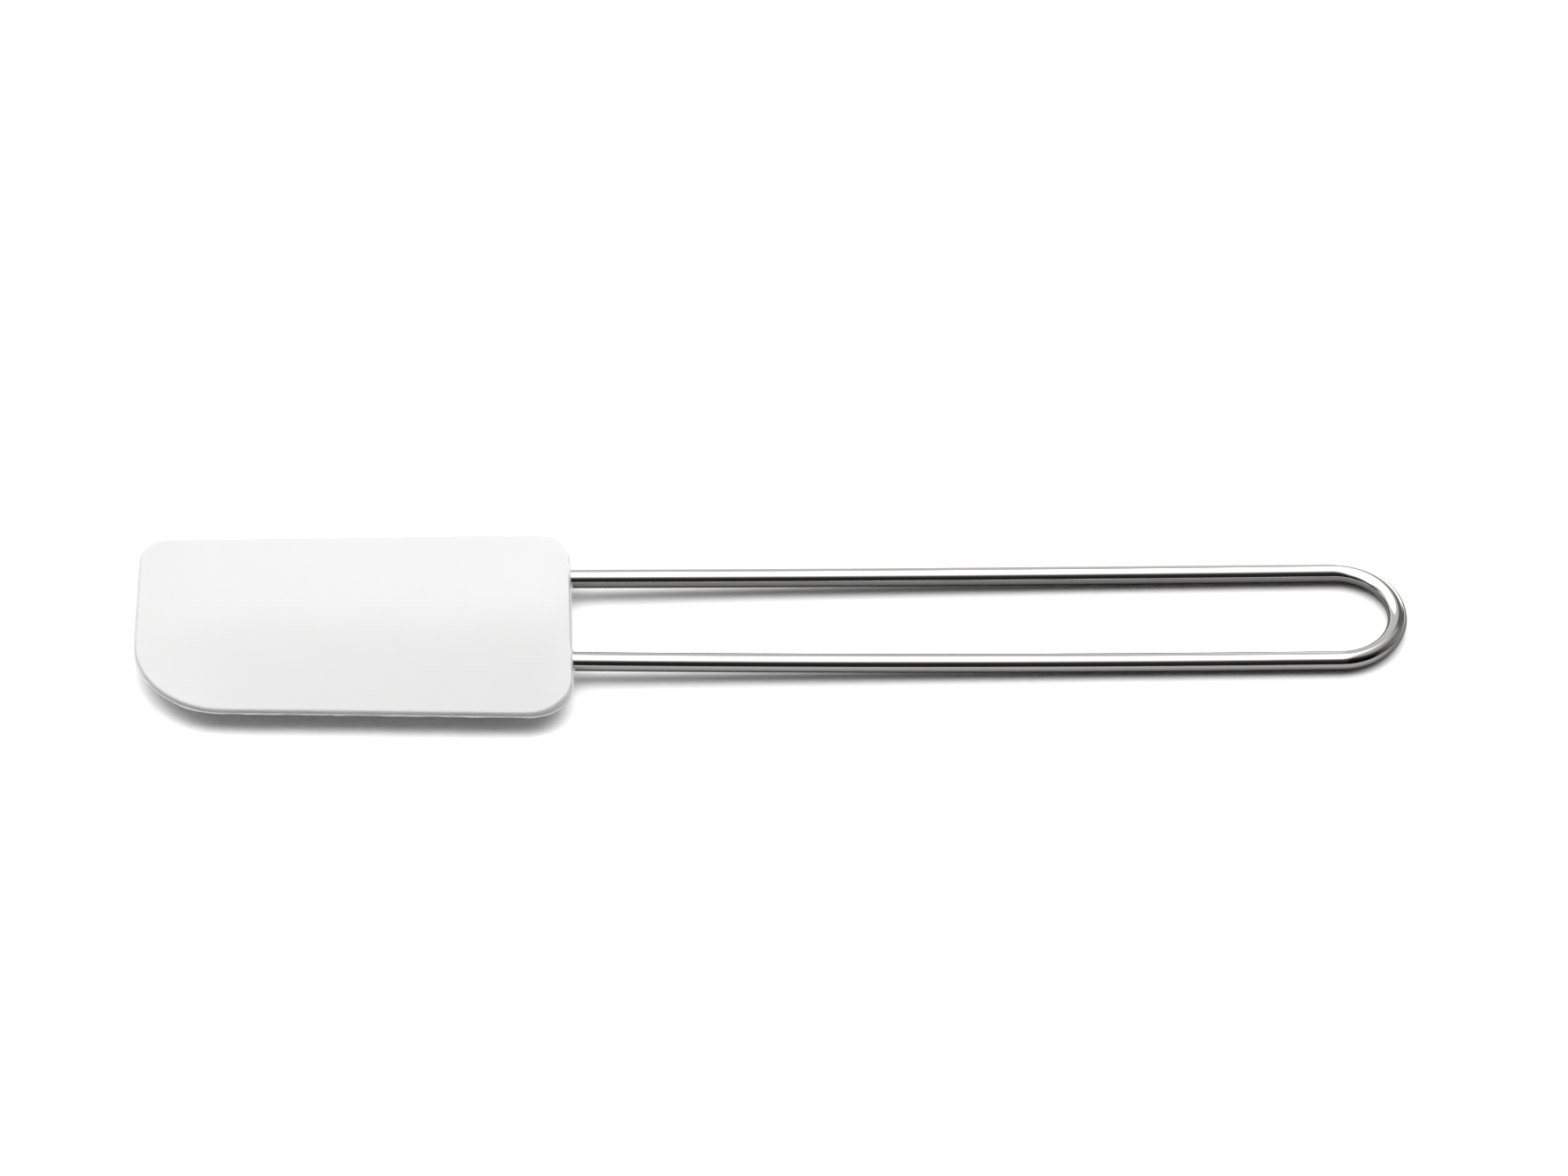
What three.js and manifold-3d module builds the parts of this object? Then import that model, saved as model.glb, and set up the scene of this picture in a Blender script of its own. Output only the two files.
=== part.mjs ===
// Silicone scraper with a wire handle.
//
// One stainless wire is bent into a long U. Its two legs run into a soft blade, where a
// thin steel core plate is welded between them, and the silicone is moulded over both,
// through the flow holes in the plate.
//
// Millimetres, +Z up. The object lies flat: +X runs from the blade to the handle's loop,
// and the blade's large rounded corner is on the -Y side. The origin is the middle of
// the footprint, on the surface that the object lies on.

import * as THREE from "three";
import * as BufferGeometryUtils from "three/addons/utils/BufferGeometryUtils.js";
import Module from "manifold-3d";

const wasm = await Module();
wasm.setup();

// Whole object
const LENGTH = 264;
const TIP_X = -LENGTH / 2;
const LOOP_END_X = LENGTH / 2;

// Blade: four straight sides with a different radius at each corner
const ROOT_X = -41.1;
const ROOT_SLANT = 1.3;
const BACK_Y = 26;
const FRONT_Y = -26.3;
const FRONT_TAPER = 3.1;
const TIP_BACK_RADIUS = 6;
const TIP_FRONT_RADIUS = 20;
const ROOT_FRONT_RADIUS = 9;
const ROOT_BACK_RADIUS = 8;
const BLADE_THICKNESS = 8;
const THIN_EDGE = 2.4;
const THIN_EDGE_ROUNDING = 5.5;
const ROOT_EDGE = 6.4;
const ROOT_EDGE_ROUNDING = 1;
const ROOT_ZONE_LENGTH = 24;
const ROOT_ZONE_WIDTH = 34;

// Handle wire, by its centre line
const WIRE_RADIUS = 2;
const HANDLE_Y = 1.6;
const LOOP_RADIUS = 12.5;
const LEG_OFFSET_AT_ROOT = 11.75;
const LEG_OFFSET_INSIDE = 11.7;
const LEG_HEIGHT_AT_ROOT = 3.86;
const LEG_HEIGHT_INSIDE = BLADE_THICKNESS / 2;
const ELBOW_LENGTH = 11.5;
const EMBEDDED_LENGTH = 64;

// Core plate inside the blade
const SHEET = 0.8;
const CORE_LENGTH = 48;
const CORE_SETBACK = 13;
const CORE_CORNER_RADIUS = 2;
const FLOW_HOLE_RADIUS = 4;
const FLOW_HOLE_COUNT = 4;

// Clearance between a piece and the one moulded round it or welded to it
const GAP = 0.3;

// How finely round shapes are divided
const CORNER_SEGMENTS = 6;
const EDGE_SEGMENTS = 5;
const WIRE_SIDES = 24;
const STRAIGHT_STEPS = 2;
const ELBOW_STEPS = 4;
const BOW_STEPS = 16;
const LOOP_STEPS = 28;
const HOLE_SEGMENTS = 20;
const OVERRUN = 5;
const MERGE_TOLERANCE = 1e-4;

const LOOP_CENTRE_X = LOOP_END_X - WIRE_RADIUS - LOOP_RADIUS;
const WIRE_END_X = ROOT_X - EMBEDDED_LENGTH;
const CORE_CENTRE_X = ROOT_X - CORE_SETBACK - CORE_LENGTH / 2;

// Solids and meshes

function solidFrom(geometry) {
  const bare = geometry.index ? geometry.toNonIndexed() : geometry.clone();
  bare.deleteAttribute("normal");
  bare.deleteAttribute("uv");
  const merged = BufferGeometryUtils.mergeVertices(bare, MERGE_TOLERANCE);
  const mesh = new wasm.Mesh({
    numProp: 3,
    vertProperties: merged.attributes.position.array,
    triVerts: new Uint32Array(merged.index.array),
  });
  return new wasm.Manifold(mesh);
}

function geometryFrom(solid) {
  const mesh = solid.getMesh();
  const geometry = new THREE.BufferGeometry();
  geometry.setAttribute("position", new THREE.BufferAttribute(mesh.vertProperties, 3));
  geometry.setIndex(new THREE.BufferAttribute(mesh.triVerts, 1));
  geometry.computeVertexNormals();
  return geometry;
}

function namedMesh(name, geometry, material) {
  const mesh = new THREE.Mesh(geometry, material);
  mesh.name = name;
  return mesh;
}

function boxSolid(size, centre) {
  const geometry = new THREE.BoxGeometry(size.x, size.y, size.z);
  geometry.translate(centre.x, centre.y, centre.z);
  return solidFrom(geometry);
}

// Handle wire: each leg runs level inside the blade, turns down through a slight elbow at
// the root and follows one long parabola to the loop, which lies level on the surface.

class LoopBend extends THREE.Curve {
  getPoint(t, target = new THREE.Vector3()) {
    const angle = Math.PI * (0.5 - t);
    const x = LOOP_CENTRE_X + LOOP_RADIUS * Math.cos(angle);
    const y = HANDLE_Y + LOOP_RADIUS * Math.sin(angle);
    return target.set(x, y, WIRE_RADIUS);
  }
}

// A line through several curves that gives each its own number of sections, so that the
// loop has more of them than the legs.
class SectionedLine extends THREE.Curve {
  constructor(stretches) {
    super();
    this.stretches = stretches;
    this.steps = stretches.reduce((total, stretch) => total + stretch.steps, 0);
  }

  getPoint(t, target = new THREE.Vector3()) {
    let along = t * this.steps;
    for (const { curve, steps } of this.stretches) {
      if (along <= steps) {
        return curve.getPoint(along / steps, target);
      }
      along -= steps;
    }
    return this.stretches.at(-1).curve.getPoint(1, target);
  }

  getPointAt(u, target) {
    return this.getPoint(u, target);
  }

  getTangentAt(u, target) {
    return this.getTangent(u, target);
  }
}

function reversed({ v0, v1, v2 }) {
  return v0 ? new THREE.QuadraticBezierCurve3(v2, v1, v0) : new THREE.LineCurve3(v2, v1);
}

function legCurves(side, endX) {
  const at = (x, offset, z) => new THREE.Vector3(x, HANDLE_Y + side * offset, z);
  const end = at(endX, LEG_OFFSET_INSIDE, LEG_HEIGHT_INSIDE);
  const elbowStart = at(ROOT_X - ELBOW_LENGTH, LEG_OFFSET_INSIDE, LEG_HEIGHT_INSIDE);
  const elbow = at(ROOT_X - ELBOW_LENGTH / 2, LEG_OFFSET_INSIDE, LEG_HEIGHT_INSIDE);
  const root = at(ROOT_X, LEG_OFFSET_AT_ROOT, LEG_HEIGHT_AT_ROOT);
  const bow = at((ROOT_X + LOOP_CENTRE_X) / 2, LOOP_RADIUS, WIRE_RADIUS);
  const loopStart = at(LOOP_CENTRE_X, LOOP_RADIUS, WIRE_RADIUS);
  return [
    { curve: new THREE.LineCurve3(end, elbowStart), steps: STRAIGHT_STEPS },
    { curve: new THREE.QuadraticBezierCurve3(elbowStart, elbow, root), steps: ELBOW_STEPS },
    { curve: new THREE.QuadraticBezierCurve3(root, bow, loopStart), steps: BOW_STEPS },
  ];
}

function handleLine(endX) {
  const wayIn = legCurves(1, endX);
  const wayBack = legCurves(-1, endX).reverse();
  return new SectionedLine([
    ...wayIn,
    { curve: new LoopBend(), steps: LOOP_STEPS },
    ...wayBack.map(({ curve, steps }) => ({ curve: reversed(curve), steps })),
  ]);
}

function wireGeometry(radius, endX) {
  const line = handleLine(endX);
  const section = new THREE.Shape();
  section.absarc(0, 0, radius, 0, 2 * Math.PI);
  return new THREE.ExtrudeGeometry(section, {
    steps: line.steps,
    curveSegments: WIRE_SIDES / 2,
    extrudePath: line,
  });
}

// Core plate: flat sheet between the legs, with flow holes along its middle

function roundedOutline(corners) {
  const shape = new THREE.Shape();
  corners.forEach(({ point, radius }, index) => {
    const before = corners.at(index - 1).point;
    const after = corners[(index + 1) % corners.length].point;
    const toBefore = before.clone().sub(point).normalize();
    const toAfter = after.clone().sub(point).normalize();
    const halfAngle = Math.acos(toBefore.dot(toAfter)) / 2;
    const middle = toBefore.clone().add(toAfter).normalize();
    const centre = point.clone().addScaledVector(middle, radius / Math.sin(halfAngle));
    const start = point.clone().addScaledVector(toBefore, radius / Math.tan(halfAngle));
    const finish = point.clone().addScaledVector(toAfter, radius / Math.tan(halfAngle));
    const startAngle = start.sub(centre).angle();
    const finishAngle = finish.sub(centre).angle();
    shape.absarc(centre.x, centre.y, radius, startAngle, finishAngle, false);
  });
  shape.closePath();
  return shape;
}

function corePlateGeometry(clearance) {
  const halfLength = CORE_LENGTH / 2 + clearance;
  const halfWidth = LEG_OFFSET_INSIDE - WIRE_RADIUS - GAP + clearance;
  const radius = CORE_CORNER_RADIUS + clearance;
  const outline = roundedOutline([
    { point: new THREE.Vector2(-halfLength, halfWidth), radius },
    { point: new THREE.Vector2(-halfLength, -halfWidth), radius },
    { point: new THREE.Vector2(halfLength, -halfWidth), radius },
    { point: new THREE.Vector2(halfLength, halfWidth), radius },
  ]);
  const pitch = CORE_LENGTH / FLOW_HOLE_COUNT;
  for (let index = 0; index < FLOW_HOLE_COUNT; index += 1) {
    const x = pitch * (index - (FLOW_HOLE_COUNT - 1) / 2);
    const hole = new THREE.Path();
    hole.absarc(x, 0, FLOW_HOLE_RADIUS - clearance, 0, 2 * Math.PI, true);
    outline.holes.push(hole);
  }
  const depth = SHEET + 2 * clearance;
  const geometry = new THREE.ExtrudeGeometry(outline, {
    depth,
    curveSegments: HOLE_SEGMENTS,
    bevelEnabled: false,
  });
  geometry.translate(CORE_CENTRE_X, HANDLE_Y, LEG_HEIGHT_INSIDE - depth / 2);
  return geometry;
}

// Blade: an outline with rounded corners, thin at its working edges and thick at the
// root, where it wraps the legs

function bladeOutline() {
  const corner = (x, y, radius) => ({ point: new THREE.Vector2(x, y), radius });
  return roundedOutline([
    corner(TIP_X, BACK_Y, TIP_BACK_RADIUS),
    corner(TIP_X, FRONT_Y + FRONT_TAPER, TIP_FRONT_RADIUS),
    corner(ROOT_X + ROOT_SLANT / 2, FRONT_Y, ROOT_FRONT_RADIUS),
    corner(ROOT_X - ROOT_SLANT / 2, BACK_Y, ROOT_BACK_RADIUS),
  ]);
}

function bladeBlank(edge, rounding) {
  const faceHeight = (BLADE_THICKNESS - edge) / 2;
  const geometry = new THREE.ExtrudeGeometry(bladeOutline(), {
    depth: edge,
    curveSegments: CORNER_SEGMENTS,
    bevelThickness: faceHeight,
    bevelSize: rounding,
    bevelOffset: -rounding,
    bevelSegments: EDGE_SEGMENTS,
  });
  geometry.translate(0, 0, faceHeight);
  return solidFrom(geometry);
}

function rootZone() {
  const size = { x: ROOT_ZONE_LENGTH + OVERRUN, y: ROOT_ZONE_WIDTH, z: 2 * BLADE_THICKNESS };
  const x = ROOT_X - ROOT_ZONE_LENGTH + size.x / 2;
  return boxSolid(size, { x, y: HANDLE_Y, z: LEG_HEIGHT_INSIDE });
}

function mouldedSpace() {
  const channels = wireGeometry(WIRE_RADIUS + GAP, WIRE_END_X - GAP);
  return solidFrom(corePlateGeometry(GAP)).add(solidFrom(channels));
}

function bladeSolid() {
  const thin = bladeBlank(THIN_EDGE, THIN_EDGE_ROUNDING);
  const thick = bladeBlank(ROOT_EDGE, ROOT_EDGE_ROUNDING).intersect(rootZone());
  return thin.add(thick).subtract(mouldedSpace());
}

// The assembly

const silicone = new THREE.MeshStandardMaterial({
  color: 0xf1f1f0,
  roughness: 0.5,
  metalness: 0,
});
const polishedSteel = new THREE.MeshStandardMaterial({
  color: 0xd4d4d2,
  roughness: 0.15,
  metalness: 1,
});
const springSteel = new THREE.MeshStandardMaterial({
  color: 0xb4b5b6,
  roughness: 0.4,
  metalness: 1,
});

const scraper = new THREE.Group();
scraper.add(namedMesh("blade", geometryFrom(bladeSolid()), silicone));
scraper.add(namedMesh("core_plate", corePlateGeometry(0), springSteel));
scraper.add(namedMesh("handle_wire", wireGeometry(WIRE_RADIUS, WIRE_END_X), polishedSteel));

export default scraper;
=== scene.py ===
"""Looks of the silicone scraper: a soft white blade on a handle of polished wire.

Everything is in metres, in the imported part's frame: +X from the blade to the handle's loop,
+Z up from the surface that the tool lies on, the camera on the -Y side.
"""

import math

import bmesh
import bpy
import numpy as np
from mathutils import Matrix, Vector


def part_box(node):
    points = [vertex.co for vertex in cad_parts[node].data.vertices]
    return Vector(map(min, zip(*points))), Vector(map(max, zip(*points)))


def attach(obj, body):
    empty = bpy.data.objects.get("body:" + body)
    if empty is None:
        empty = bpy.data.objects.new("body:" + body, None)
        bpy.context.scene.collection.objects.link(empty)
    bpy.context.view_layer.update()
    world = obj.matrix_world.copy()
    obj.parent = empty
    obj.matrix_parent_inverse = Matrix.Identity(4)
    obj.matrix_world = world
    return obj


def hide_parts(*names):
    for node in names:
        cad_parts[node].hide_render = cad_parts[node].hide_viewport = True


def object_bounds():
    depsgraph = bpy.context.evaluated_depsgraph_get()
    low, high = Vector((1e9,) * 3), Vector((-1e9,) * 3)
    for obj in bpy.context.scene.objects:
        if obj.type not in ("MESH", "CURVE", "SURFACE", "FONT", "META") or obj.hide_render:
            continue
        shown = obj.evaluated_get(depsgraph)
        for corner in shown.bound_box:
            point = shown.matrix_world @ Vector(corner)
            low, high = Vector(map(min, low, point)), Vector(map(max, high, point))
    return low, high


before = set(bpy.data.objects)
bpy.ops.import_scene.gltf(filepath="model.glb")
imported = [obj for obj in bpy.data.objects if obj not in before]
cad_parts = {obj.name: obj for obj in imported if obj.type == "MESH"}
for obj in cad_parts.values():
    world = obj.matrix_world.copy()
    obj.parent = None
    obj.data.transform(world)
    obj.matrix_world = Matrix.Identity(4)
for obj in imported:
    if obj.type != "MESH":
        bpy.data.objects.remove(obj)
cad_low, cad_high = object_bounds()

MM = 0.001

# Camera: a long lens on a tripod, looking down over the front edge
CAMERA_AZIMUTH = math.radians(-0.98)
CAMERA_ELEVATION = math.radians(46.5)
CAMERA_DISTANCE = 1.4
CAMERA_LENS_MM = 153.8
CAMERA_SENSOR_MM = 36
CAMERA_TARGET = Vector((2.8, 13.6, 0)) * MM
CAMERA_NEAREST = 0.05
CAMERA_FARTHEST = 50

# Blade outline and section
TIP_BACK_RADIUS = 6 * MM
TIP_FRONT_RADIUS = 20 * MM
ROOT_FRONT_RADIUS = 9 * MM
ROOT_BACK_RADIUS = 8 * MM
FRONT_TAPER = 3.1 * MM
ROOT_SLANT = 1.3 * MM
FRONT_CORNER_OVERSHOOT = 0.32 * MM
SIDE_HALF_THICKNESS = 0.72 * MM
ROOT_HALF_THICKNESS = 1.6 * MM
ROOT_THICKENING = 12 * MM
ROOT_FALL = 1.0 * MM
ROOT_FALL_LENGTH = 8 * MM
WEDGE = 0.2
WEDGE_LENGTH = 24 * MM
TIP_POWER = 6
RIDGE_SOFTNESS = 0.28
EDGE_RADIUS = 0.5 * MM
UPPER_DRAFT = math.tan(math.radians(3))
LOWER_DRAFT = math.tan(math.radians(30))

# Where the mesh of the two faces gathers, and how closely its outline is divided
SPINE_INSET = 24 * MM
SIDE_SPACING = 0.8 * MM
ROOT_SPACING = 0.35 * MM
ARC_SPACING = 0.5 * MM
LEAST_ARC_STEPS = 8

# Moulding flash along the parting line
FLASH_WIDTH = 0.48 * MM
FLASH_HALF_THICKNESS = 0.06 * MM
NICKS_X = (-90.7 * MM, -84.9 * MM)
NICK_HALF_WIDTH = 0.45 * MM

# How far the flash's edge is set back, in widths of the flash, and the lengths of its waves
NICK_DEPTH = 0.8
SET_BACK = 0.22
WAVE_LONG_DEPTH = 0.12
WAVE_SHORT_DEPTH = 0.1
WAVE_LONG = 2.3 * MM
WAVE_SHORT = 0.9 * MM
WAVE_ACROSS = 1.7 * MM

# Raised lip of silicone where each leg of the wire leaves the blade
LIP_HEIGHT = 0.3 * MM
LIP_RADIUS = 2.35 * MM
LIP_HALF_WIDTH = 0.45 * MM
LIP_REACH = 2.2 * MM

# Handle wire
WIRE_RADIUS = 2 * MM
EMBEDDED_LENGTH = 64 * MM
ELBOW_LENGTH = 11.5 * MM
LEG_OFFSET_INSIDE = 11.7 * MM
LEG_OFFSET_AT_ROOT = 11.75 * MM
LEG_DROP_AT_ROOT = 0.14 * MM
WIRE_SIDES = 64
STRAIGHT_STEPS = 24
ELBOW_STEPS = 10
BOW_STEPS = 110
LOOP_STEPS = 90

blade_low, blade_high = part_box("blade")
wire_low, wire_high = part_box("handle_wire")
PARTING_Z = (blade_low.z + blade_high.z) / 2
HALF_THICKNESS = (blade_high.z - blade_low.z) / 2
TIP_X = blade_low.x
ROOT_X = wire_low.x + EMBEDDED_LENGTH
HANDLE_Y = (wire_low.y + wire_high.y) / 2
LOOP_RADIUS = (wire_high.y - wire_low.y) / 2 - WIRE_RADIUS
LOOP_CENTRE_X = wire_high.x - WIRE_RADIUS - LOOP_RADIUS
LOOP_Z = wire_low.z + WIRE_RADIUS
SPINE_START = TIP_X + SPINE_INSET
SPINE_END = ROOT_X - SPINE_INSET


# Camera, floor and light


def make_camera():
    data = bpy.data.cameras.new("camera")
    data.lens = CAMERA_LENS_MM
    data.sensor_width = CAMERA_SENSOR_MM
    data.clip_start = CAMERA_NEAREST
    data.clip_end = CAMERA_FARTHEST
    camera = bpy.data.objects.new("camera", data)
    level = math.cos(CAMERA_ELEVATION)
    back = Vector(
        (
            math.sin(CAMERA_AZIMUTH) * level,
            -math.cos(CAMERA_AZIMUTH) * level,
            math.sin(CAMERA_ELEVATION),
        )
    )
    camera.location = CAMERA_TARGET + back * CAMERA_DISTANCE
    camera.rotation_mode = "QUATERNION"
    camera.rotation_quaternion = (-back).to_track_quat("-Z", "Y")
    bpy.context.scene.collection.objects.link(camera)
    bpy.context.scene.camera = camera


class Nodes:
    """Short calls for building a node tree."""

    def __init__(self, tree):
        self.tree = tree
        tree.nodes.clear()

    def add(self, kind, **settings):
        node = self.tree.nodes.new(kind)
        for name, value in settings.items():
            setattr(node, name, value)
        return node

    def feed(self, socket, value):
        if isinstance(value, bpy.types.NodeSocket):
            self.tree.links.new(value, socket)
        else:
            socket.default_value = value

    def math(self, operation, *values, clamp=False):
        node = self.add("ShaderNodeMath", operation=operation, use_clamp=clamp)
        for socket, value in zip(node.inputs, values):
            self.feed(socket, value)
        return node.outputs[0]

    def step(self, value, low, high, start=0.0, end=1.0):
        """A smooth step of value from start at low to end at high."""
        node = self.add("ShaderNodeMapRange", interpolation_type="SMOOTHSTEP")
        for name, setting in (
            ("Value", value),
            ("From Min", low),
            ("From Max", high),
            ("To Min", start),
            ("To Max", end),
        ):
            self.feed(node.inputs[name], setting)
        return node.outputs[0]

    def noise(self, vector, scale, detail=2.0, roughness=0.5):
        node = self.add("ShaderNodeTexNoise")
        self.feed(node.inputs["Vector"], vector)
        self.feed(node.inputs["Scale"], scale)
        self.feed(node.inputs["Detail"], detail)
        self.feed(node.inputs["Roughness"], roughness)
        return node.outputs["Fac"]

    def product(self, first, *others):
        for other in others:
            first = self.math("MULTIPLY", first, other)
        return first

    def total(self, first, *others):
        for other in others:
            first = self.math("ADD", first, other)
        return first

    def slanted(self, arc, x, slope, low, high):
        """The arc, for an edge of the softbox that slants as x goes from low to high."""
        held = self.math("MINIMUM", self.math("MAXIMUM", x, low), high)
        return self.math("MULTIPLY_ADD", held, slope, arc)

    def background(self, strength, colour=(1, 1, 1, 1)):
        node = self.add("ShaderNodeBackground")
        self.feed(node.inputs["Strength"], strength)
        self.feed(node.inputs["Color"], colour)
        return node.outputs[0]

    def paper(self, level):
        """A matt white; its level may pass 1."""
        node = self.add("ShaderNodeBsdfDiffuse")
        grey = self.add("ShaderNodeCombineColor")
        for socket in grey.inputs:
            self.feed(socket, level)
        self.feed(node.inputs["Color"], grey.outputs[0])
        return node.outputs[0]

    def either(self, switch, off, on):
        node = self.add("ShaderNodeMixShader")
        self.feed(node.inputs[0], switch)
        self.feed(node.inputs[1], off)
        self.feed(node.inputs[2], on)
        return node.outputs[0]

    def bump(self, height, distance, strength=1.0, normal=None):
        node = self.add("ShaderNodeBump")
        self.feed(node.inputs["Height"], height)
        self.feed(node.inputs["Distance"], distance)
        self.feed(node.inputs["Strength"], strength)
        if normal is not None:
            self.feed(node.inputs["Normal"], normal)
        return node.outputs[0]


# The studio is described by arcs in degrees (0 at the back, 90 overhead, 180 at the camera)
# and by x, which is -1 towards the blade's end and 1 towards the handle's end
KEY_REAR = (21.0, 45.0)
KEY_FRONT = (66.0, 112.0)
KEY_SIDES = (0.6, 0.9)
AROUND_FRONT = (75.0, 120.0)
SOFTBOX_REAR = (50.0, 58.0)
SOFTBOX_REAR_SLANT = -38.0
SOFTBOX_REAR_REACH = (-0.75, 0.0)
SOFTBOX_FRONT = (96.0, 134.0)
SOFTBOX_FRONT_SLANT = 55.0
SOFTBOX_FRONT_REACH = (-0.35, 0.2)
SOFTBOX_BLADE_SIDE = (-0.94, -0.76)
HANDLE_SIDE = (0.12, 0.28)
PANEL_FRONT = (88.0, 122.0)
PANEL_DIMMING = (0.3, 0.85)
BACKDROP_FRONT = (45.0, 152.0)
BACKDROP_SIDE = (0.12, 0.3)
CARD_START = (0.06, 0.16)
CARD_END = (0.55, 0.75)
CARD_TOP = (12.0, 32.0)
FAR_ENDS = (0.75, 0.9)

# Brightness of the studio, where 1 is the white of the picture
KEY_LIGHT = 2.75
BACKDROP = 0.75
SOFTBOX_SEEN = 2.4
SIDE_PANEL_SEEN = 0.55
SIDE_PANEL_DIMMED = 0.06
BACKDROP_SEEN = 0.75
BACKDROP_AT_HANDLE = 0.2
CARD_SEEN = 2.2
FAR_ENDS_SEEN = 0.1
DARK_SIDE = 0.02
PALE = (0.93, 0.93, 0.93, 1)


def make_light():
    """A studio sky: one for what the light falls on softly, one for what mirrors it."""
    world = bpy.data.worlds.new("studio")
    bpy.context.scene.world = world
    world.use_nodes = True
    n = Nodes(world.node_tree)
    parts = n.add("ShaderNodeSeparateXYZ")
    n.feed(parts.inputs[0], n.add("ShaderNodeTexCoord").outputs["Generated"])
    x, y, z = parts.outputs
    arc = n.math("DEGREES", n.math("ARCTAN2", z, y))
    ray = n.add("ShaderNodeLightPath")
    studio = n.background(soft_light(n, arc, x))
    first_mirror = n.math("LESS_THAN", ray.outputs["Diffuse Depth"], 0.5)
    in_metal = n.product(ray.outputs["Is Glossy Ray"], first_mirror)
    studio = n.either(in_metal, studio, n.background(mirrored(n, arc, x)))
    studio = n.either(ray.outputs["Is Camera Ray"], studio, n.background(1.0, PALE))
    output = n.add("ShaderNodeOutputWorld")
    n.feed(output.inputs["Surface"], studio)


def soft_light(n, arc, x):
    """What lights the tool: a large soft key above and behind it, and a pale backdrop."""
    across = n.step(n.math("ABSOLUTE", x), *KEY_SIDES, 1.0, 0.0)
    key = n.product(n.step(arc, *KEY_REAR), n.step(arc, *KEY_FRONT, 1.0, 0.0), across)
    around = n.step(arc, *AROUND_FRONT, BACKDROP, DARK_SIDE)
    return n.math("MULTIPLY_ADD", key, KEY_LIGHT - BACKDROP, around)


def mirrored(n, arc, x):
    """What polished metal shows: the softbox reaches far over the blade's end of the tool,
    and the handle's end has a dim side panel and a bright low card behind it."""
    front_arc = n.slanted(arc, x, SOFTBOX_FRONT_SLANT, *SOFTBOX_FRONT_REACH)
    rear_arc = n.slanted(arc, x, SOFTBOX_REAR_SLANT, *SOFTBOX_REAR_REACH)
    rear_edge = n.step(rear_arc, *SOFTBOX_REAR)
    front_edge = n.step(front_arc, *SOFTBOX_FRONT, 1.0, 0.0)
    panel_edge = n.step(arc, *PANEL_FRONT, 1.0, 0.0)
    handle_end = n.step(x, *HANDLE_SIDE)
    blade_end = n.product(n.step(x, *SOFTBOX_BLADE_SIDE), n.step(x, *HANDLE_SIDE, 1.0, 0.0))
    softbox = n.product(rear_edge, front_edge, blade_end, SOFTBOX_SEEN)
    dimming = n.step(x, *PANEL_DIMMING, SIDE_PANEL_SEEN, SIDE_PANEL_DIMMED)
    panel = n.product(rear_edge, panel_edge, handle_end, dimming)
    backdrop = n.step(arc, *BACKDROP_FRONT, BACKDROP_SEEN, DARK_SIDE)
    backdrop = n.product(backdrop, n.step(x, *BACKDROP_SIDE, 1.0, BACKDROP_AT_HANDLE))
    card = n.product(n.step(x, *CARD_START), n.step(x, *CARD_END, 1.0, 0.0))
    card = n.product(card, n.step(arc, *CARD_TOP, 1.0, 0.0), CARD_SEEN)
    far_ends = n.step(n.math("ABSOLUTE", x), *FAR_ENDS, 0.0, FAR_ENDS_SEEN)
    return n.total(softbox, panel, backdrop, card, far_ends)


FLOOR_SIZE = 8.0
FLOOR_ALBEDO = 0.9
FLOOR_WHITENED = 1.6
# The floor's levels as mirrored in the wire are a painted reflection: painted shade in front of the
# legs and between them, painted light behind them.
MIRRORED_PAINTED_SHADE_FRONT = 0.52
MIRRORED_PAINTED_SHADE_BETWEEN = 0.28
MIRRORED_PAINTED_LIGHT_BEHIND = 1.2
BEHIND_BLEND = 10 * MM
FRONT_BLEND = 4 * MM


def make_floor():
    """White paper. The camera sees it whitened, as in a catalogue picture. Mirrors see painted
    light
    and shade on it: painted shade makes it dim between the legs and a little brighter in front of
    them, and painted light makes it bright behind them."""
    half = FLOOR_SIZE / 2
    corners = [(-half, -half, 0), (half, -half, 0), (half, half, 0), (-half, half, 0)]
    mesh = bpy.data.meshes.new("floor")
    mesh.from_pydata(corners, [], [(0, 1, 2, 3)])
    floor = bpy.data.objects.new("floor", mesh)
    floor.location.z = cad_low.z
    bpy.context.scene.collection.objects.link(floor)
    material, n = new_material("floor_paper")
    ray = n.add("ShaderNodeLightPath")
    parts = n.add("ShaderNodeSeparateXYZ")
    n.feed(parts.inputs[0], n.add("ShaderNodeTexCoord").outputs["Object"])
    y = parts.outputs[1]
    levels = (MIRRORED_PAINTED_SHADE_FRONT, MIRRORED_PAINTED_SHADE_BETWEEN)
    # Painted reflection: the floor's level in mirrors, with painted shade between and in front of
    # the legs and painted light behind them.
    painted_reflection_level = n.step(y, wire_low.y - FRONT_BLEND, wire_low.y + FRONT_BLEND, *levels)
    behind = n.step(y, wire_high.y, wire_high.y + BEHIND_BLEND)
    painted_reflection_level = n.step(behind, 0.0, 1.0, painted_reflection_level, MIRRORED_PAINTED_LIGHT_BEHIND)
    paper = n.paper(FLOOR_ALBEDO)
    paper = n.either(ray.outputs["Is Glossy Ray"], paper, n.paper(painted_reflection_level))
    whitened = n.paper(FLOOR_ALBEDO * FLOOR_WHITENED)
    paper = n.either(ray.outputs["Is Camera Ray"], paper, whitened)
    output = n.add("ShaderNodeOutputMaterial")
    n.feed(output.inputs["Surface"], paper)
    mesh.materials.append(material)


# Materials


def new_material(name):
    material = bpy.data.materials.new(name)
    material.use_nodes = True
    return material, Nodes(material.node_tree)


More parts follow.
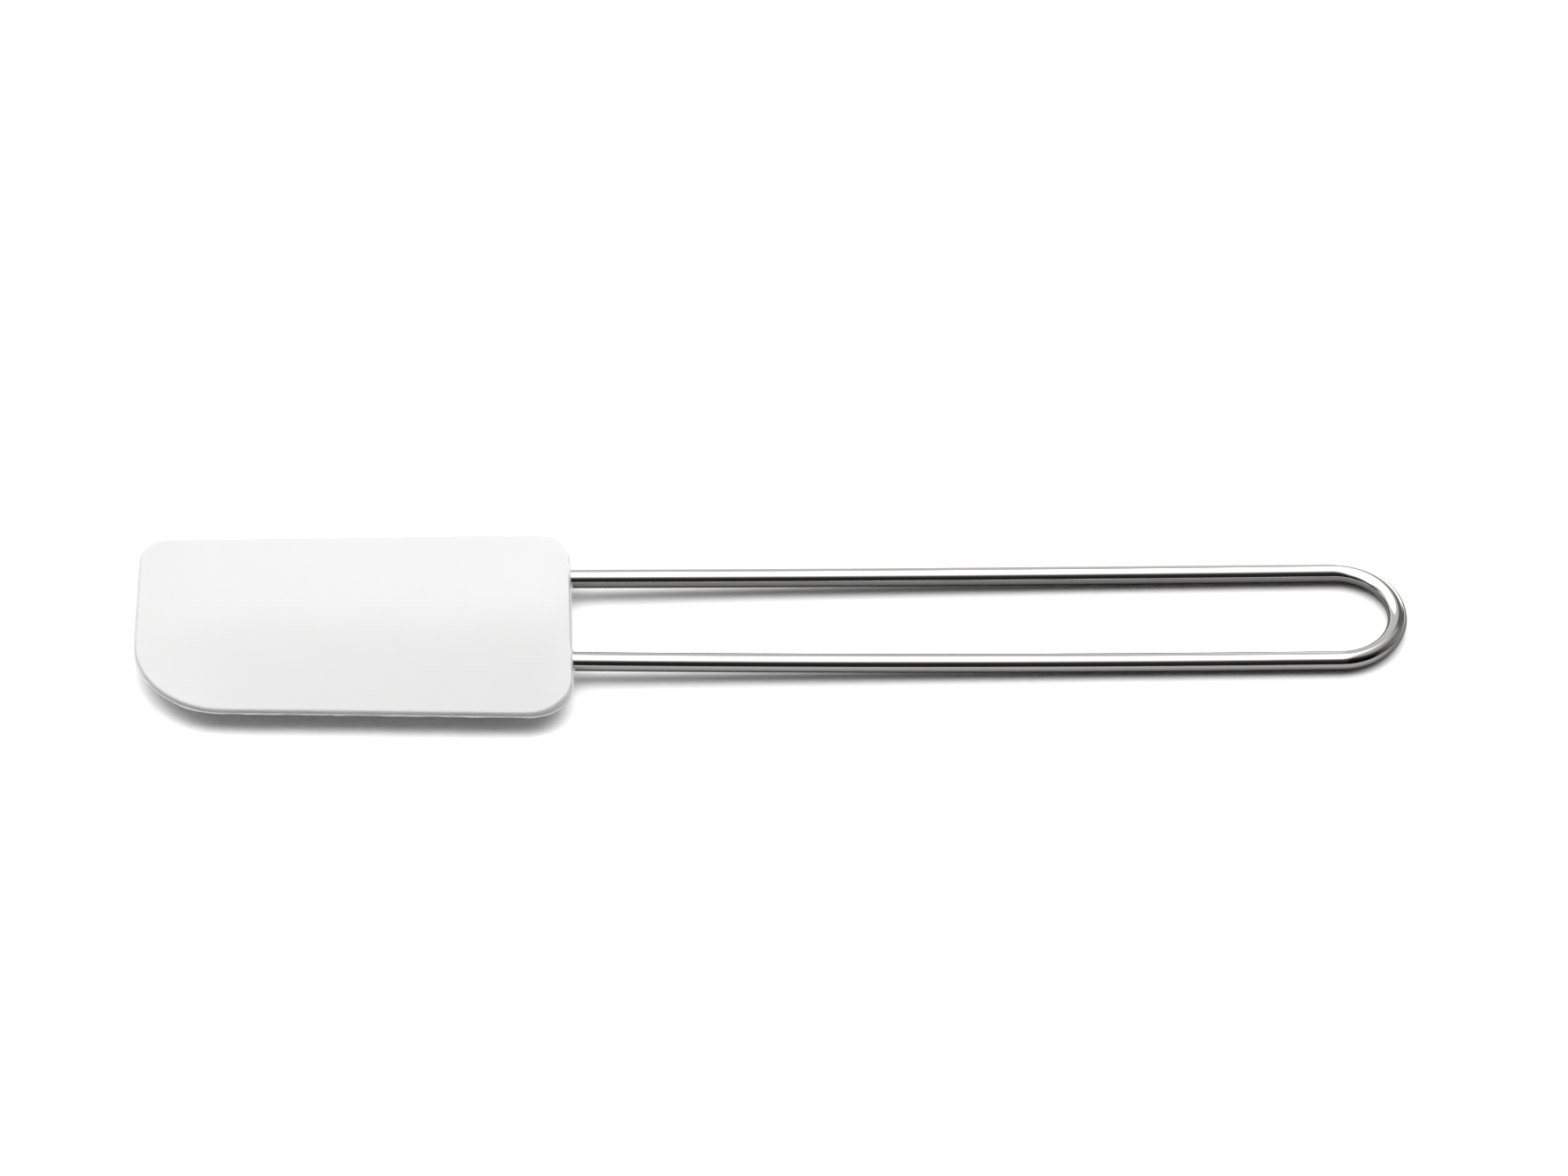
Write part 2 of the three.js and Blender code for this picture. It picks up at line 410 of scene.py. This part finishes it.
def principled(n, base, roughness, metallic=0.0, normal=None):
    shader = n.add("ShaderNodeBsdfPrincipled")
    n.feed(shader.inputs["Base Color"], base)
    n.feed(shader.inputs["Roughness"], roughness)
    n.feed(shader.inputs["Metallic"], metallic)
    if normal is not None:
        n.feed(shader.inputs["Normal"], normal)
    output = n.add("ShaderNodeOutputMaterial")
    n.feed(output.inputs["Surface"], shader.outputs[0])
    return shader


def colour_between(n, factor, dark, light):
    ramp = n.add("ShaderNodeMix", data_type="RGBA")
    n.feed(ramp.inputs[0], factor)
    n.feed(ramp.inputs[6], dark)
    n.feed(ramp.inputs[7], light)
    return ramp.outputs[2]


def scaled(n, vector, scale):
    node = n.add("ShaderNodeMapping")
    n.feed(node.inputs["Vector"], vector)
    node.inputs["Scale"].default_value = scale
    return node.outputs[0]


# Silicone. The noise scales of all materials are in cells per metre.
SILICONE_DARK = (0.735, 0.735, 0.733, 1)
SILICONE_LIGHT = (0.76, 0.76, 0.758, 1)
SILICONE_ROUGHNESS = (0.34, 0.42)
SILICONE_SPECULAR = 0.5
SCATTER_WEIGHT = 0.7
SCATTER_DEPTH = 0.8 * MM
CLOUD_SCALE = 40.0
SHEEN_SCALE = 90.0
SURFACE_WAVE_SCALE = 130.0
SURFACE_WAVE_DEPTH = 0.03 * MM
GRAIN_SCALE = 4500.0
GRAIN_DEPTH = 0.006 * MM


def silicone_material():
    """White silicone from a satin mould: faint clouding, a fine eroded texture."""
    material, n = new_material("silicone")
    place = n.add("ShaderNodeTexCoord").outputs["Object"]
    cloud = n.noise(place, CLOUD_SCALE, detail=3.0)
    base = colour_between(n, cloud, SILICONE_DARK, SILICONE_LIGHT)
    grain = n.noise(place, GRAIN_SCALE, detail=2.0)
    waves = n.noise(place, SURFACE_WAVE_SCALE, detail=1.0)
    normal = n.bump(waves, SURFACE_WAVE_DEPTH)
    normal = n.bump(grain, GRAIN_DEPTH, normal=normal)
    roughness = n.step(n.noise(place, SHEEN_SCALE), 0.3, 0.7, *SILICONE_ROUGHNESS)
    shader = principled(n, base, roughness, normal=normal)
    shader.inputs["Subsurface Weight"].default_value = SCATTER_WEIGHT
    shader.inputs["Subsurface Radius"].default_value = (1.0, 1.0, 1.0)
    shader.inputs["Subsurface Scale"].default_value = SCATTER_DEPTH
    shader.inputs["Specular IOR Level"].default_value = SILICONE_SPECULAR
    return material


# Polished wire
WIRE_DARK = (0.6, 0.595, 0.585, 1)
WIRE_LIGHT = (0.66, 0.655, 0.645, 1)
WIRE_ROUGHNESS = (0.04, 0.09)
DRAW_LINE_SCALE = (30.0, 160.0, 1.0)
DRAW_LINE_DEPTH = 0.0012 * MM
WIRE_WAVE_SCALE = 220.0
WIRE_WAVE_DEPTH = 0.012 * MM


def wire_material():
    """Polished drawn wire: draw lines along it and a faint waviness."""
    material, n = new_material("polished_wire")
    along = n.add("ShaderNodeUVMap", uv_map="along").outputs[0]
    lines = n.noise(scaled(n, along, DRAW_LINE_SCALE), 1.0, detail=3.0)
    place = n.add("ShaderNodeTexCoord").outputs["Object"]
    waves = n.noise(place, WIRE_WAVE_SCALE, detail=1.0)
    base = colour_between(n, lines, WIRE_DARK, WIRE_LIGHT)
    roughness = n.step(lines, 0.35, 0.7, *WIRE_ROUGHNESS)
    normal = n.bump(waves, WIRE_WAVE_DEPTH)
    normal = n.bump(lines, DRAW_LINE_DEPTH, normal=normal)
    principled(n, base, roughness, metallic=1.0, normal=normal)
    return material


# Spring steel
SHEET_DARK = (0.42, 0.42, 0.43, 1)
SHEET_LIGHT = (0.56, 0.56, 0.57, 1)
SHEET_ROUGHNESS = (0.28, 0.42)
BRUSHING_SCALE = (60.0, 2500.0, 2500.0)
BRUSHING_DEPTH = 0.01 * MM


def spring_steel_material():
    """Rolled sheet, brushed along the blade."""
    material, n = new_material("spring_steel")
    place = n.add("ShaderNodeTexCoord").outputs["Object"]
    brushing = n.noise(scaled(n, place, BRUSHING_SCALE), 1.0, detail=3.0)
    base = colour_between(n, brushing, SHEET_DARK, SHEET_LIGHT)
    roughness = n.step(brushing, 0.3, 0.7, *SHEET_ROUGHNESS)
    normal = n.bump(brushing, BRUSHING_DEPTH)
    principled(n, base, roughness, metallic=1.0, normal=normal)
    return material


# Meshes

SHARP_ANGLE = math.radians(50)
WELD_DISTANCE = 0.002 * MM


def lofted(name, rings, material, capped):
    """A closed mesh through rings of equal point counts. Its two ends are capped, or each
    is a ring folded flat on to a line, where the points that meet are welded."""
    rings = np.asarray(rings)
    count, sides = rings.shape[:2]
    points = rings.reshape(-1, 3)
    faces = []
    for row in range(count - 1):
        here = row * sides
        above = here + sides
        for side in range(sides):
            after = (side + 1) % sides
            faces.append((here + side, here + after, above + after, above + side))
    if capped:
        faces.append(tuple(reversed(range(sides))))
        faces.append(tuple(range((count - 1) * sides, count * sides)))
    mesh = bpy.data.meshes.new(name)
    mesh.from_pydata(points.tolist(), [], faces)
    if not capped:
        weld(mesh)
    mesh.shade_smooth()
    mesh.set_sharp_from_angle(angle=SHARP_ANGLE)
    mesh.materials.append(material)
    piece = bpy.data.objects.new(name, mesh)
    bpy.context.scene.collection.objects.link(piece)
    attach(piece, "root")
    return piece


def weld(mesh):
    work = bmesh.new()
    work.from_mesh(mesh)
    bmesh.ops.remove_doubles(work, verts=work.verts, dist=WELD_DISTANCE)
    work.to_mesh(mesh)
    work.free()


# Blade


def corner_arc(before, point, after, radius, spacing):
    """Points and outward normals of the arc that rounds one corner."""
    to_before = (before - point) / np.linalg.norm(before - point)
    to_after = (after - point) / np.linalg.norm(after - point)
    half = math.acos(float(to_before @ to_after)) / 2
    middle = (to_before + to_after) / np.linalg.norm(to_before + to_after)
    centre = point + middle * radius / math.sin(half)
    start = -middle
    sweep = math.pi - 2 * half
    steps = max(LEAST_ARC_STEPS, round(radius * sweep / spacing))
    angles = np.linspace(-sweep / 2, sweep / 2, steps + 1)
    cos, sin = np.cos(angles), np.sin(angles)
    normals = np.stack([cos * start[0] - sin * start[1], sin * start[0] + cos * start[1]], 1)
    return centre + radius * normals, normals


def blade_outline():
    """The parting line, anticlockwise from above: points, and the normals that point out."""
    front = blade_low.y - FRONT_CORNER_OVERSHOOT
    corners = [
        ((TIP_X, blade_high.y), TIP_BACK_RADIUS),
        ((TIP_X, front + FRONT_TAPER), TIP_FRONT_RADIUS),
        ((ROOT_X + ROOT_SLANT / 2, front), ROOT_FRONT_RADIUS),
        ((ROOT_X - ROOT_SLANT / 2, blade_high.y), ROOT_BACK_RADIUS),
    ]
    spots = [np.array(spot) for spot, _ in corners]
    arcs = []
    for index, (_, radius) in enumerate(corners):
        after = spots[(index + 1) % len(spots)]
        arcs.append(corner_arc(spots[index - 1], spots[index], after, radius, ARC_SPACING))
    points, normals = [], []
    for index, (arc, normal) in enumerate(arcs):
        points.extend(arc)
        normals.extend(normal)
        following = arcs[(index + 1) % len(arcs)][0][0]
        between = straight_points(arc[-1], following)
        points.extend(between)
        normals.extend([normal[-1]] * len(between))
    return np.array(points), np.array(normals)


def straight_points(start, end):
    """Points between two arcs. The two long sides share their places along the spine."""
    along_x = abs(end[0] - start[0]) > abs(end[1] - start[1])
    cuts = sorted((SPINE_START, SPINE_END), reverse=bool(start[0] > end[0])) if along_x else []
    stops = [0, *((cut - start[0]) / (end[0] - start[0]) for cut in cuts), 1]
    length = max(abs(end - start))
    spacing = SIDE_SPACING if along_x or start[0] < SPINE_START else ROOT_SPACING
    places = []
    for first, last in zip(stops, stops[1:]):
        steps = max(1, round((last - first) * length / spacing))
        places.extend(first + (last - first) * step / steps for step in range(steps))
    return [start + (end - start) * place for place in places[1:]]


def middle_and_half_width(x):
    """Where the blade's middle line is, and how far the long sides are from it."""
    taper = np.clip((ROOT_X - x) / (ROOT_X - TIP_X), 0, 1)
    front_edge = blade_low.y - FRONT_CORNER_OVERSHOOT + FRONT_TAPER * taper
    return (blade_high.y + front_edge) / 2, (blade_high.y - front_edge) / 2


def side_height(x):
    """Half the thickness at the long edges: thin, and thicker close to the root."""
    near_root = np.clip(1 - (ROOT_X - x) / ROOT_THICKENING, 0, 1) ** 2
    return SIDE_HALF_THICKNESS + (ROOT_HALF_THICKNESS - SIDE_HALF_THICKNESS) * near_root


def middle_height(x):
    """Half the thickness along the middle: it falls off past the root, and at the tip."""
    from_root = ROOT_X - x
    along = np.clip(from_root / (ROOT_X - TIP_X), 0, 1)
    settled = 1 - np.exp(-np.clip(from_root - ROOT_FALL_LENGTH, 0, None) / WEDGE_LENGTH)
    body = HALF_THICKNESS * (1 - WEDGE * settled)
    thinned = SIDE_HALF_THICKNESS + (body - SIDE_HALF_THICKNESS) * (1 - along**TIP_POWER)
    return thinned - ROOT_FALL * np.clip(1 - from_root / ROOT_FALL_LENGTH, 0, 1) ** 2


def face_height(x, y):
    """Half the blade's thickness at a place."""
    middle, half_width = middle_and_half_width(x)
    across = np.clip(np.abs(y - middle) / half_width, 0, 1)
    side = side_height(x)
    ridge = np.sqrt(across**2 + RIDGE_SOFTNESS**2) - RIDGE_SOFTNESS
    foot = math.sqrt(1 + RIDGE_SOFTNESS**2) - RIDGE_SOFTNESS
    return side + (middle_height(x) - side) * (1 - ridge / foot)


FACE_STEPS = (0.03, 0.07, 0.12, 0.18, 0.25, 0.33, 0.42, 0.52, 0.62, 0.74, 0.87, 1.0)
FACE_MARGIN = 0.4 * MM
ROUNDING_ANGLES = np.radians(np.linspace(90, 0, 9))
WALL_STEPS = np.linspace(0.875, 0, 8)


def flash_edge(outline, normals):
    """The flash's outer edge: a little uneven, with two nicks at the front where it tore."""
    x, y = outline.T
    long_waves = WAVE_LONG_DEPTH * np.sin(x / WAVE_LONG)
    short_waves = WAVE_SHORT_DEPTH * np.sin(x / WAVE_SHORT + y / WAVE_ACROSS)
    uneven = long_waves + short_waves + SET_BACK
    at_front = y < HANDLE_Y
    for nick in NICKS_X:
        uneven = uneven + NICK_DEPTH * at_front * np.exp(-(((x - nick) / NICK_HALF_WIDTH) ** 2))
    return outline - normals * (FLASH_WIDTH * uneven)[:, None]


def raise_lips(points):
    """Push the root wall out in a soft ring round each leg of the wire."""
    for side in (-1, 1):
        leg_y = HANDLE_Y + side * LEG_OFFSET_AT_ROOT
        leg_z = PARTING_Z - LEG_DROP_AT_ROOT
        away = np.hypot(points[..., 1] - leg_y, points[..., 2] - leg_z)
        ring = np.exp(-(((away - LIP_RADIUS) / LIP_HALF_WIDTH) ** 2))
        at_root = np.clip((points[..., 0] - ROOT_X + LIP_REACH) / MM, 0, 1)
        points[..., 0] += LIP_HEIGHT * ring * at_root


def half_section(outline, normals, draft):
    """Rings of one half of the blade, from its middle out to the flash: places and heights."""
    wall_inset = FLASH_WIDTH + draft * (side_height(outline[:, 0]) - EDGE_RADIUS)[:, None]
    face_end = wall_inset + EDGE_RADIUS + FACE_MARGIN
    inner = outline - normals * face_end
    spine_x = np.clip(outline[:, 0], SPINE_START, SPINE_END)
    spine = np.stack([spine_x, middle_and_half_width(spine_x)[0]], 1)
    rings = []
    for step in reversed(FACE_STEPS):
        place = inner + (spine - inner) * step
        rings.append((place, face_height(*place.T)))
    rings.append((inner, face_height(*inner.T)))
    for angle in ROUNDING_ANGLES:
        inset = wall_inset + EDGE_RADIUS * (1 - math.cos(angle))
        place = outline - normals * inset
        height = face_height(*place.T) - EDGE_RADIUS * (1 - math.sin(angle))
        rings.append((place, height))
    wall_top = rings[-1][1]
    for step in WALL_STEPS:
        height = FLASH_HALF_THICKNESS + (wall_top - FLASH_HALF_THICKNESS) * step
        place = outline - normals * (FLASH_WIDTH + (wall_inset - FLASH_WIDTH) * step)
        rings.append((place, height))
    rings.append((flash_edge(outline, normals), np.full(len(outline), FLASH_HALF_THICKNESS)))
    return rings


def make_blade(material):
    outline, normals = blade_outline()
    upper = half_section(outline, normals, UPPER_DRAFT)
    lower = half_section(outline, normals, LOWER_DRAFT)
    above = [np.column_stack([place, PARTING_Z + height]) for place, height in upper]
    below = [np.column_stack([place, PARTING_Z - height]) for place, height in lower]
    rings = np.array(below + above[::-1])
    raise_lips(rings)
    blade = lofted("silicone_blade", rings, material, capped=False)
    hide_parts("blade")


# Handle


def bezier(start, bend, end, steps):
    t = np.linspace(0, 1, steps + 1)[:, None]
    return (1 - t) ** 2 * start + 2 * t * (1 - t) * bend + t**2 * end


def leg_line(side):
    """Centre line of one leg, from its end inside the blade to the start of the loop."""

    def at(x, offset, z):
        return np.array((x, HANDLE_Y + side * offset, z))

    elbow_start = ROOT_X - ELBOW_LENGTH
    level = PARTING_Z
    end = at(wire_low.x, LEG_OFFSET_INSIDE, level)
    elbow_in = at(elbow_start, LEG_OFFSET_INSIDE, level)
    elbow = at(ROOT_X - ELBOW_LENGTH / 2, LEG_OFFSET_INSIDE, level)
    root = at(ROOT_X, LEG_OFFSET_AT_ROOT, level - LEG_DROP_AT_ROOT)
    bow = at((ROOT_X + LOOP_CENTRE_X) / 2, LOOP_RADIUS, LOOP_Z)
    loop_start = at(LOOP_CENTRE_X, LOOP_RADIUS, LOOP_Z)
    straight = np.linspace(end, elbow_in, STRAIGHT_STEPS, endpoint=False)
    bent = bezier(elbow_in, elbow, root, ELBOW_STEPS)[:-1]
    bowed = bezier(root, bow, loop_start, BOW_STEPS)[:-1]
    return np.concatenate([straight, bent, bowed])


def loop_line():
    angles = np.linspace(math.pi / 2, -math.pi / 2, LOOP_STEPS + 1)
    x = LOOP_CENTRE_X + LOOP_RADIUS * np.cos(angles)
    y = HANDLE_Y + LOOP_RADIUS * np.sin(angles)
    return np.column_stack([x, y, np.full(len(angles), LOOP_Z)])


def make_wire(material):
    line = np.concatenate([leg_line(1), loop_line(), leg_line(-1)[::-1]])
    tangent = np.gradient(line, axis=0)
    tangent /= np.linalg.norm(tangent, axis=1)[:, None]
    side = np.cross(tangent, (0, 0, 1))
    side /= np.linalg.norm(side, axis=1)[:, None]
    up = np.cross(side, tangent)
    angles = np.linspace(0, 2 * math.pi, WIRE_SIDES, endpoint=False)
    across = np.cos(angles)[None, :, None] * side[:, None]
    over = np.sin(angles)[None, :, None] * up[:, None]
    rings = line[:, None] + WIRE_RADIUS * (across + over)
    wire = lofted("polished_wire_handle", rings, material, capped=True)
    lay_along(wire, line)
    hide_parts("handle_wire")


def lay_along(wire, line):
    """A UV map whose U is the distance along the wire in metres and whose V goes round it."""
    travelled = np.concatenate([[0], np.cumsum(np.linalg.norm(np.diff(line, axis=0), axis=1))])
    layer = wire.data.uv_layers.new(name="along")
    for polygon in wire.data.polygons:
        sides = [wire.data.loops[index].vertex_index % WIRE_SIDES for index in polygon.loop_indices]
        wraps = max(sides) - min(sides) > WIRE_SIDES / 2
        for index, side in zip(polygon.loop_indices, sides):
            row = wire.data.loops[index].vertex_index // WIRE_SIDES
            turn = 1 if wraps and side == 0 else side / WIRE_SIDES
            layer.data[index].uv = (travelled[row], turn)


def finish_core(material):
    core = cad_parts["core_plate"]
    core.data.materials.clear()
    core.data.materials.append(material)


bpy.context.scene.view_settings.view_transform = "Standard"
make_camera()
make_light()
make_floor()
make_blade(silicone_material())
make_wire(wire_material())
finish_core(spring_steel_material())
